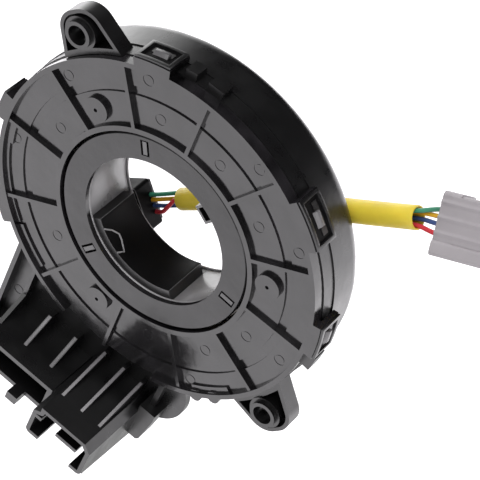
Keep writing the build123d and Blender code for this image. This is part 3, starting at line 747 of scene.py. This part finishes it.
@dataclass
class SnapLoops:
    """Raised rims of the cover's snap loops, sheets of painted shade in their pockets, and the teeth in
    them.
    """

    shop: Workshop
    bench: Bench
    places: tuple[Span, ...] = ((25, 14), (88, 11), (155, 9), (192, 12), (346, 11))
    loop_r: float = 53.55
    height: float = 0.85
    rim: float = 1.15
    floor: float = 0.12
    pocket_lap: float = 0.1
    pocket_height: float = 0.16
    y_range: Span = (-0.6, 7.5)
    tooth_size: Point = (4.6, 2.3, 0.95)
    tooth_top: Point = (0.9, 0.45, 1)
    steps: int = 8

    def loop_rim(self, angle: float, width: float) -> bpy.types.Object:
        """Make the rim round one loop's window.

        Args:
            angle: the loop's place round the axis.
            width: the loop's width.

        Returns:
            The rim.
        """
        low, high = self.y_range
        piece = self.bench.slab("loop_rim", (width, high - low, self.height), (self.steps, 1))
        bpy.ops.mesh.inset(thickness=self.rim)
        sink = (0, 0, self.floor - self.height)
        bpy.ops.mesh.extrude_region_move(TRANSFORM_OT_translate={"value": sink})
        self.bench.wrap(piece, angle, self.loop_r, (low + high) / 2)
        self.bench.finish(piece)
        return piece

    def pocket(self, angle: float, width: float) -> bpy.types.Object:
        """Make a near-black sheet of painted shade on the floor of one loop's window.

        Args:
            angle: the loop's place round the axis.
            width: the loop's width.

        Returns:
            The floor.
        """
        low, high = self.y_range
        inset = 2 * self.rim - self.pocket_lap
        size = (width - inset, high - low - inset, self.pocket_height)
        piece = self.bench.slab("loop_pocket_shade", size, (self.steps, 1))
        self.bench.wrap(piece, angle, self.loop_r, (low + high) / 2)
        return piece

    def tooth(self, angle: float) -> bpy.types.Object:
        """Make the tooth that one loop hooks over, with its front sloped.

        Args:
            angle: the loop's place round the axis.

        Returns:
            The tooth.
        """
        piece = self.bench.slab("loop_tooth", self.tooth_size)
        bpy.ops.transform.resize(value=self.tooth_top, center_override=(0, self.tooth_size[1] / 2, 0))
        self.bench.wrap(piece, angle, self.loop_r, sum(self.y_range) / 2)
        self.bench.finish(piece)
        return piece

    def build(self) -> None:
        """Make the rims, the painted-shade pockets and the teeth."""
        rims = [self.loop_rim(angle, width) for angle, width in self.places]
        self.shop.seat(self.bench.join("snap_rims", rims), Body.STATOR, "black_gloss")
        pockets = [self.pocket(angle, width) for angle, width in self.places]
        # the pocket sheets are painted shade, making the windows look deep
        self.shop.seat(self.bench.join("snap_pocket_shades", pockets), Body.STATOR, "painted_shade_black")
        teeth = [self.tooth(angle) for angle, _ in self.places]
        # the teeth take the lighter grey of the painted edge highlight
        self.shop.seat(self.bench.join("snap_teeth", teeth), Body.STATOR, "highlight_black")


@dataclass
class BaseTrim:
    """Painted highlights along the gussets' crests, and the web between the two shrouds."""

    shop: Workshop
    bench: Bench
    angle: float = math.radians(247.1)
    crests: tuple[tuple[tuple[float, ...], Span, Span], ...] = (
        ((-17.0, -7.3), (57.4, 1.0), (63.5, -8.0)),
        ((2.5, 9.4, 15.9), (53.6, 1.0), (58.3, -16.4)),
    )
    crest_width: float = 0.95
    crest_depth: float = 0.3
    crest_proud: float = 0.05
    web_u: Span = (64.0, 71.0)
    web_w: Span = (-1.8, -0.6)
    web_y: Span = (-13.2, 4.4)

    def spot(self, u: float, w: float, y: float) -> Vector:
        """Find a point of the connector base.

        Args:
            u: its distance outward from the axis, in millimetres.
            w: its distance across the base, in millimetres.
            y: its place along the axis, in millimetres.

        Returns:
            The point, in millimetres.
        """
        outward = Vector((math.cos(self.angle), 0, math.sin(self.angle)))
        across = Vector((-math.sin(self.angle), 0, math.cos(self.angle)))
        return outward * u + across * w + Vector((0, y, 0))

    def crest(self, w: float, foot: Span, top: Span) -> bpy.types.Object:
        """Make a strip of painted highlight along one gusset's crest.

        Args:
            w: the gusset's place across the base, in millimetres.
            foot: the crest's lower end, outward and along the axis.
            top: its upper end.

        Returns:
            The strip.
        """
        start, end = self.spot(foot[0], w, foot[1]), self.spot(top[0], w, top[1])
        along, across = end - start, self.spot(0, 1, 0)
        out = along.cross(across)
        if out.y > 0:
            out.negate()
        piece = self.bench.slab("crest", (along.length, self.crest_width, self.crest_depth))
        seat = (start + end) / 2 + out.normalized() * (self.crest_proud - self.crest_depth)
        self.bench.place(piece, seat, along, out)
        self.bench.finish(piece)
        return piece

    def build(self) -> None:
        """Make the crest highlights and the web."""
        strips = [self.crest(w, foot, top) for widths, foot, top in self.crests for w in widths]
        self.shop.seat(self.bench.join("gusset_crest_highlights", strips), Body.STATOR, "crest_highlight")
        (u0, u1), (w0, w1), (y0, y1) = self.web_u, self.web_w, self.web_y
        web = self.bench.slab("shroud_web", (u1 - u0, w1 - w0, y1 - y0))
        middle = self.spot((u0 + u1) / 2, (w0 + w1) / 2, y1)
        self.bench.place(web, middle, self.spot(1, 0, 0), Vector((0, -1, 0)))
        self.bench.finish(web)
        self.shop.seat(web, Body.STATOR, "black_gloss")


@dataclass
class HubTrim:
    """Painted shade on the hub's sector face, painted sheen on the bore's walls, and painted highlights: a
    rim round its latch hook and a bead at each end.
    """

    shop: Workshop
    bench: Bench
    sector_arc: Span = (194.8, 278.7)
    sector_y: Span = (2.3, 17.1)
    sector_r: float = 19.8
    sector_proud: float = 0.05
    skin: float = 0.3
    step_degrees: float = 3.0
    wall_arcs: tuple[Span, ...] = ((142.0, 194.2), (279.4, 312.0))
    wall_y: Span = (3.0, 19.2)
    wall_r: float = 23.12
    hook_proud: float = 0.1
    hook_line_r: float = 0.26
    hook_line_steps: int = 2
    hook: tuple[Span, ...] = (
        (203.5, 2.3),
        (208.5, 4.7),
        (214.5, 6.3),
        (220.0, 5.9),
        (228.0, 4.3),
        (225.3, 2.3),
    )
    beads: tuple[tuple[str, float, float, float], ...] = (
        ("bore_bead", 22.75, 0.45, 2.1),
        ("rear_bead", 23.0, 0.32, 19.65),
    )
    bead_steps: tuple[int, int] = (180, 14)

    def face(self, name: str, arc: Span, y_range: Span, radius: float) -> bpy.types.Object:
        """Make a thin face laid on an inner wall.

        Args:
            name: the piece's name.
            arc: its two ends round the axis, in degrees.
            y_range: its two ends along the axis, in millimetres.
            radius: its distance from the axis, in millimetres.

        Returns:
            The face.
        """
        (a0, a1), (y0, y1) = arc, y_range
        size = (math.radians(a1 - a0) * radius, y1 - y0, self.skin)
        piece = self.bench.slab(name, size, (round((a1 - a0) / self.step_degrees), 1))
        self.bench.wrap(piece, (a0 + a1) / 2, radius, (y0 + y1) / 2)
        self.bench.finish(piece)
        return piece

    def faces(self) -> None:
        """Cover the sector's inner face with painted shade, and the bore's walls beside it with painted
        sheen.
        """
        radius = self.sector_r - self.sector_proud
        # painted shade: a near-black skin over the sector
        sector = self.face("sector_shade_face", self.sector_arc, self.sector_y, radius)
        self.shop.seat(sector, Body.ROTOR, "painted_shade_black")
        # painted sheen: light grey skins on the bore's walls beside the sector
        walls = [self.face("bore_sheen_wall", arc, self.wall_y, self.wall_r) for arc in self.wall_arcs]
        self.shop.seat(self.bench.join("bore_sheen_walls", walls), Body.ROTOR, "bore_painted_sheen")

    def hook_highlight_rim(self) -> None:
        """Lay a light grey rim of painted highlight round the latch hook's window."""
        reach = self.sector_r - self.hook_proud
        points = [round_axis(math.radians(angle), reach, y) for angle, y in self.hook]
        piece = new_curve("hook_highlight_rim", points, Course.STRAIGHT)
        piece.data.bevel_depth = self.hook_line_r * MM
        piece.data.bevel_resolution = self.hook_line_steps
        piece.data.use_fill_caps = True
        select_only(piece)
        bpy.ops.object.convert(target="MESH")
        self.shop.seat(bpy.context.active_object, Body.ROTOR, "rim_highlight")

    def build(self) -> None:
        """Make the painted shade and sheen faces, the hook's highlight rim and the highlight beads."""
        self.faces()
        self.hook_highlight_rim()
        for name, radius, thickness, y in self.beads:
            bpy.ops.object.select_all(action="DESELECT")
            bpy.ops.mesh.primitive_torus_add(
                major_radius=radius * MM,
                minor_radius=thickness * MM,
                major_segments=self.bead_steps[0],
                minor_segments=self.bead_steps[1],
                location=(0, y * MM, 0),
                rotation=(math.pi / 2, 0, 0),
            )
            bead = bpy.context.active_object
            bead.name = name
            bpy.ops.object.transform_apply(location=True, rotation=True, scale=True)
            bpy.ops.object.shade_smooth()
            # the beads are coloured light grey as painted highlights
            self.shop.seat(bead, Body.ROTOR, "rim_highlight")


@dataclass
class PlugFace:
    """The plug's broad face with its shallow lengthwise ridges."""

    shop: Workshop
    bench: Bench
    at: Vector = field(default_factory=lambda: Vector((72.5, 25.0, 18.2)))
    axis: Vector = field(default_factory=lambda: Vector((0.990, 0.0, 0.139)))
    out: Vector = field(default_factory=lambda: Vector((-0.082, -0.806, 0.585)))
    length: float = 25.9
    across: Span = (-4.4, 7.3)
    seat: float = 3.9
    thickness: float = 0.62
    ridge_pitch: float = 3.9
    ridge_height: float = 0.34
    ridge_sharpness: int = 3
    rows: int = 36

    def build(self) -> None:
        """Make the ridged face."""
        low, high = self.across
        piece = self.bench.slab("plug_ridges", (self.length, high - low, self.thickness), (1, self.rows))
        bpy.ops.object.mode_set(mode="OBJECT")
        for vertex in piece.data.vertices:
            if vertex.co.z > self.thickness / 2:
                wave = math.cos(2 * math.pi * vertex.co.y / self.ridge_pitch)
                vertex.co.z += self.ridge_height * max(0.0, wave) ** self.ridge_sharpness
        up = self.out.cross(self.axis).normalized()
        middle = self.at + self.axis * (self.length / 2) + up * ((low + high) / 2) + self.out * self.seat
        self.bench.place(piece, middle, self.axis, self.out)
        self.bench.finish(piece)
        self.shop.seat(piece, Body.ROTOR, "grey_nylon")


LEAD_Y = 25.0
SHEATH_ROUTE: tuple[Point, ...] = (
    (-8.7, LEAD_Y, -7.6),
    (9.7, LEAD_Y, 0.2),
    (27.5, LEAD_Y, 6.0),
    (45.5, LEAD_Y, 10.9),
    (65.0, LEAD_Y, 17.0),
)
WIRE_ROUTES: dict[str, tuple[Point, ...]] = {
    "wire_green": (
        (-19.5, 25.0, -10.5),
        (-17.4, 25.0, -9.7),
        (-14.1, 25.4, -8.3),
        (-9.3, 25.9, -6.2),
        (-4.3, 25.8, -4.0),
        (5.4, 25.7, 0.2),
        (21.2, 25.5, 5.8),
        (36.4, 25.3, 10.2),
        (49.2, 25.1, 13.8),
        (59.4, 25.0, 17.2),
        (65.2, 25.1, 19.1),
        (69.0, 26.5, 20.5),
        (72.1, 27.2, 21.2),
    ),
    "wire_yellow": (
        (-18.9, 25.0, -12.0),
        (-16.9, 25.1, -11.2),
        (-13.5, 25.8, -10.0),
        (-8.5, 26.6, -8.2),
        (-3.4, 26.7, -5.9),
        (6.1, 26.8, -1.6),
        (21.8, 26.8, 4.2),
        (36.8, 26.8, 8.8),
        (49.4, 26.7, 12.7),
        (59.4, 26.6, 16.0),
        (64.9, 26.5, 17.7),
        (68.9, 26.1, 18.8),
        (72.3, 25.9, 19.4),
    ),
    "wire_blue": (
        (-18.3, 25.0, -13.7),
        (-16.2, 25.0, -13.0),
        (-13.0, 24.9, -11.6),
        (-8.1, 24.3, -9.1),
        (-3.0, 24.0, -6.9),
        (6.6, 23.9, -2.6),
        (22.4, 24.3, 2.7),
        (37.4, 25.2, 7.0),
        (49.8, 25.9, 10.7),
        (59.8, 26.3, 14.1),
        (65.2, 26.2, 16.1),
        (69.0, 25.0, 17.3),
        (72.6, 24.7, 17.8),
    ),
    "wire_red": (
        (-17.6, 25.0, -15.6),
        (-15.3, 24.6, -14.7),
        (-13.0, 23.2, -11.9),
        (-9.6, 23.7, -6.7),
        (-4.3, 23.3, -4.5),
        (5.7, 23.4, -0.4),
        (21.8, 23.1, 4.5),
        (37.2, 23.2, 8.1),
        (49.9, 23.8, 11.1),
        (59.9, 24.5, 13.8),
        (65.4, 24.6, 15.1),
        (69.3, 23.6, 15.4),
        (72.8, 23.2, 15.7),
    ),
}


@dataclass
class Lead:
    """The lead: four wires from the terminal block to the plug, and the sleeve round them."""

    shop: Workshop
    wire_d: float = 1.25 * MM
    sheath_d: float = 6.4 * MM
    sheath_wall: float = 0.5 * MM
    lip: float = 0.15 * MM
    lip_angle: float = math.radians(30.0)
    lip_steps: int = 2
    smooth_angle: float = math.radians(40.0)
    wire_round_steps: int = 4
    sheath_round_steps: int = 14
    along_steps: int = 12
    spline_order: int = 3

    def spline(self, name: str, route: tuple[Point, ...]) -> bpy.types.Object:
        """Make a smooth curve with a route's points as its control points.

        Args:
            name: the curve's name.
            route: control points in millimetres.

        Returns:
            The curve, with no thickness yet.
        """
        piece = new_curve(name, [Vector(point) * MM for point in route], Course.SMOOTH)
        piece.data.resolution_u = self.along_steps
        line = piece.data.splines[0]
        line.order_u = self.spline_order
        line.use_endpoint_u = True
        return piece

    def centreline(self, piece: bpy.types.Object) -> tuple[list[Vector], float]:
        """Measure a curve that has no thickness.

        Args:
            piece: the curve.

        Returns:
            Its points in order, and its length.
        """
        mesh = shown_mesh(piece)
        points = [vertex.co.copy() for vertex in mesh.vertices]
        bpy.data.meshes.remove(mesh)
        return points, sum((b - a).length for a, b in zip(points, points[1:]))

    def wire(self, label: str, route: tuple[Point, ...]) -> None:
        """Args:
            label: the wire's node and finish.
            route: its control points in millimetres.
        """
        piece = self.spline(label + "_jacket", route)
        line, length = self.centreline(piece)
        piece.data.bevel_depth = self.wire_d / 2
        piece.data.bevel_resolution = self.wire_round_steps
        piece.data.use_fill_caps = True
        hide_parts(label)
        self.shop.seat(piece, Body.ROTOR, label)

    def sheath(self) -> None:
        guide = self.spline("sheath_guide", SHEATH_ROUTE)
        line, length = self.centreline(guide)
        guide.data.bevel_depth = self.sheath_d / 2
        guide.data.bevel_resolution = self.sheath_round_steps
        mesh = shown_mesh(guide)
        bpy.data.objects.remove(guide)
        piece = link_new("lead_sleeve", mesh)
        wall = piece.modifiers.new("wall", "SOLIDIFY")
        wall.thickness = self.sheath_wall
        wall.offset = -1.0
        round_corners(piece, self.lip, self.lip_angle, self.lip_steps)
        apply_modifiers(piece)
        bpy.ops.object.shade_smooth_by_angle(angle=self.smooth_angle)
        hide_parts("lead_sheath")
        self.shop.seat(piece, Body.ROTOR, "yellow_sleeve")

    def build(self) -> None:
        """Make the four wires and the sleeve."""
        for label, route in WIRE_ROUTES.items():
            self.wire(label, route)
        self.sheath()


@dataclass
class Studio:
    """Floor, surroundings, lamps and camera."""

    azimuth: float = 34.6
    elevation: float = 37.1
    distance: float = 0.576
    focal_px: float = 2200.0
    frame_px: float = 480.0
    sensor_mm: float = 36.0
    view_depth: Span = (0.01, 20.0)
    aim_right: float = 0.02288
    aim_up: float = -0.001885
    floor_drop: float = 0.09
    floor_size: float = 6.0
    floor_colour: Colour = (0.8, 0.8, 0.8)
    floor_tint: Colour = (1.0, 0.966, 1.01)
    floor_camera_level: float = 0.62
    floor_gloss_level: float = 1.7
    # painted shadow on the floor's glow, seen only in reflections: its centre, its soft edge and its depth
    shade_at: Point = (-0.035, 0.065, 0.0)
    shade_reach: Span = (0.075, 0.17)
    shade_level: float = 0.03
    diffuse_level: float = 0.62
    dark_way: Point = (0.1, 0.62, 0.78)
    dark_reach: Span = (0.22, 0.64)
    window_way: Point = (-0.88, 0.45, 0.1)
    window_reach: Span = (0.67, 0.95)
    window_level: float = 3.2
    lamps: tuple[tuple[str, Point, float, float], ...] = (
        ("overhead", (0.16, -0.15, 1.12), 1.2, 11.5),
        ("side", (1.0, -0.3, 0.4), 0.8, 3.0),
    )

    def axes(self) -> tuple[Vector, Vector, Vector]:
        """Work out how the camera stands.

        Returns:
            Its right, up and back directions.
        """
        turn, tilt = math.radians(self.azimuth), math.radians(self.elevation)
        right = Vector((math.cos(turn), math.sin(turn), 0))
        back = Vector((math.sin(turn) * math.cos(tilt), -math.cos(turn) * math.cos(tilt), math.sin(tilt)))
        return right, back.cross(right), back

    def camera(self) -> None:
        """Set the camera where the photograph was taken."""
        right, up, back = self.axes()
        data = bpy.data.cameras.new("camera")
        data.sensor_width = self.sensor_mm
        data.sensor_fit = "HORIZONTAL"
        data.lens = self.focal_px / self.frame_px * self.sensor_mm
        data.clip_start, data.clip_end = self.view_depth
        camera = link_new("camera", data)
        turn = Matrix((right, up, back)).transposed().to_4x4()
        place = right * self.aim_right + up * self.aim_up + back * self.distance
        camera.matrix_world = Matrix.Translation(place) @ turn
        bpy.context.scene.camera = camera

    def lamp(self, name: str, place: Point, size: float, power: float) -> None:
        """Add a square lamp that looks at the object.

        Args:
            name: the lamp's name.
            place: where it hangs, in metres.
            size: its side, in metres.
            power: its power, in watts.
        """
        data = bpy.data.lights.new(name, "AREA")
        data.size = size
        data.energy = power
        lamp = link_new(name, data)
        lamp.location = place
        lamp.rotation_euler = Vector(place).to_track_quat("Z", "Y").to_euler()

    def pointing(self, tree: Tree, ray: bpy.types.NodeSocket, way: Point) -> bpy.types.NodeSocket:
        """Tell how far a ray points one way.

        Args:
            tree: the nodes.
            ray: the ray's direction.
            way: the way to compare it with.

        Returns:
            1 for along that way, and -1 for against it.
        """
        inputs = {0: ray, 1: Vector(way).normalized()}
        return tree.add("ShaderNodeVectorMath", inputs, operation="DOT_PRODUCT").outputs["Value"]

    def surroundings(self) -> None:
        """Show the camera white walls, and gloss a white room with a window and a dark part."""
        world = bpy.data.worlds.new("room")
        bpy.context.scene.world = world
        world.use_nodes = True
        world.node_tree.nodes.clear()
        tree = Tree(world.node_tree)
        path = tree.add("ShaderNodeLightPath").outputs
        ray = tree.add("ShaderNodeTexCoord").outputs["Generated"]
        wall = tree.ramp(self.pointing(tree, ray, self.dark_way), self.dark_reach, (1.0, 0.0))
        along = self.pointing(tree, ray, self.window_way)
        window = tree.ramp(along, self.window_reach, (0.0, self.window_level))
        total = tree.add("ShaderNodeMath", {0: wall, 1: window})
        room, soft, white = (
            tree.add("ShaderNodeBackground", {"Color": (1, 1, 1, 1), "Strength": level}).outputs[0]
            for level in (total.outputs[0], self.diffuse_level, 1.0)
        )
        by_gloss = tree.add("ShaderNodeMixShader", {"Fac": path["Is Glossy Ray"], 1: soft, 2: room})
        sides = {"Fac": path["Is Camera Ray"], 1: by_gloss.outputs[0], 2: white}
        by_camera = tree.add("ShaderNodeMixShader", sides)
        tree.add("ShaderNodeOutputWorld", {"Surface": by_camera.outputs[0]})

    def floor_finish(self) -> bpy.types.Material:
        """Make a floor that is white to the camera and to gloss, and keeps a faint shadow, with a painted
        shadow spot under the object that only reflections show.

        Returns:
            The material.
        """
        material = bpy.data.materials.new("floor_white")
        material.use_nodes = True
        material.node_tree.nodes.clear()
        tree = Tree(material.node_tree)
        path = tree.add("ShaderNodeLightPath").outputs
        place = tree.add("ShaderNodeTexCoord").outputs["Object"]
        # painted shadow: the glow that gloss sees drops to a dark spot near shade_at
        away = tree.add("ShaderNodeVectorMath", {0: place, 1: self.shade_at}, operation="DISTANCE")
        levels = (self.shade_level * self.floor_gloss_level, self.floor_gloss_level)
        mirrored = {0: path["Is Glossy Ray"], 1: tree.ramp(away.outputs["Value"], self.shade_reach, levels)}
        by_gloss = tree.add("ShaderNodeMath", mirrored, operation="MULTIPLY")
        shown = {0: path["Is Camera Ray"], 1: self.floor_camera_level, 2: by_gloss.outputs[0]}
        level = tree.add("ShaderNodeMath", shown, operation="MULTIPLY_ADD").outputs[0]
        matt = tree.add("ShaderNodeBsdfDiffuse", {"Color": (*self.floor_colour, 1)})
        glow = tree.add("ShaderNodeEmission", {"Color": (*self.floor_tint, 1), "Strength": level})
        both = tree.add("ShaderNodeAddShader", {0: matt.outputs[0], 1: glow.outputs[0]})
        tree.add("ShaderNodeOutputMaterial", {"Surface": both.outputs[0]})
        return material

    def floor(self) -> None:
        """Lay the floor below the object."""
        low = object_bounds()[0][2] - self.floor_drop
        bpy.ops.object.select_all(action="DESELECT")
        bpy.ops.mesh.primitive_plane_add(size=self.floor_size, location=(0, 0, low))
        floor = bpy.context.active_object
        floor.name = "floor"
        floor.data.materials.append(self.floor_finish())
        floor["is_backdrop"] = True

    def build(self) -> None:
        """Set up the whole studio."""
        self.floor()
        self.surroundings()
        for lamp in self.lamps:
            self.lamp(*lamp)
        self.camera()
        bpy.context.scene.view_settings.view_transform = "Standard"


def main() -> None:
    """Build every piece in order, then the studio."""
    logging.basicConfig(level=logging.INFO, format="%(name)s: %(message)s")
    shop = Workshop()
    for node, finish in NODE_FINISHES.items():
        shop.coat(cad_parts[node], finish)
    MouldedShells(shop).build()
    bench = Bench()
    for detail in (SnapLoops, BaseTrim, HubTrim, PlugFace):
        detail(shop, bench).build()
    Lead(shop).build()
    Studio().build()


if __name__ == "__main__":
    main()
